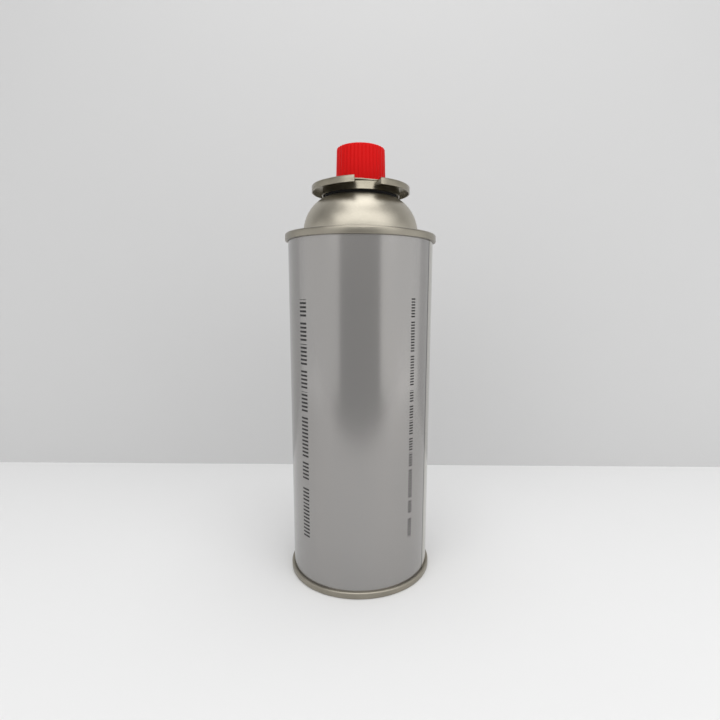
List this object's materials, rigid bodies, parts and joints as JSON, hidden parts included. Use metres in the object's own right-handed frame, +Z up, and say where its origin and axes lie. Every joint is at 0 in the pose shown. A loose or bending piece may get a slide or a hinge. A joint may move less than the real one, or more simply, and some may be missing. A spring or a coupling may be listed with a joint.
{
  "type": "gas canister",
  "caption": "Slim steel fuel canister for a portable stove, with a domed shoulder, a notched locking collar, a valve stem and a ribbed push-on cap.",
  "frame": {"origin": "middle of the circle that the can stands on", "axes": "+Z up the can's axis to the cap; -Y towards the collar's notch"},
  "size_m": [0.0676, 0.0676, 0.195],
  "materials": {
    "can_lacquer": "semi-gloss grey metallic lacquer",
    "cup_tinplate": "bare pressed tinplate",
    "stem_plastic": "moulded off-white plastic",
    "collar_steel": "bare rolled sheet, rubbed at the edges",
    "cap_plastic": "satin red moulding"
  },
  "bodies": {
    "can": {"can": "can_lacquer", "valve_cup": "cup_tinplate", "collar": "collar_steel"},
    "stem": {"valve_stem": "stem_plastic"},
    "cap": {"cap": "cap_plastic"}
  },
  "joints": [
    {"name": "stem_press", "type": "slide", "parent": "can", "child": "stem", "axis": [0, 0, -1], "range_m": [0, 0.0016], "stiffness_N_per_m": 1000},
    {"name": "cap_pull", "type": "slide", "parent": "can", "child": "cap", "axis": [0, 0, 1], "range_m": [0, 0.024]}
  ]
}
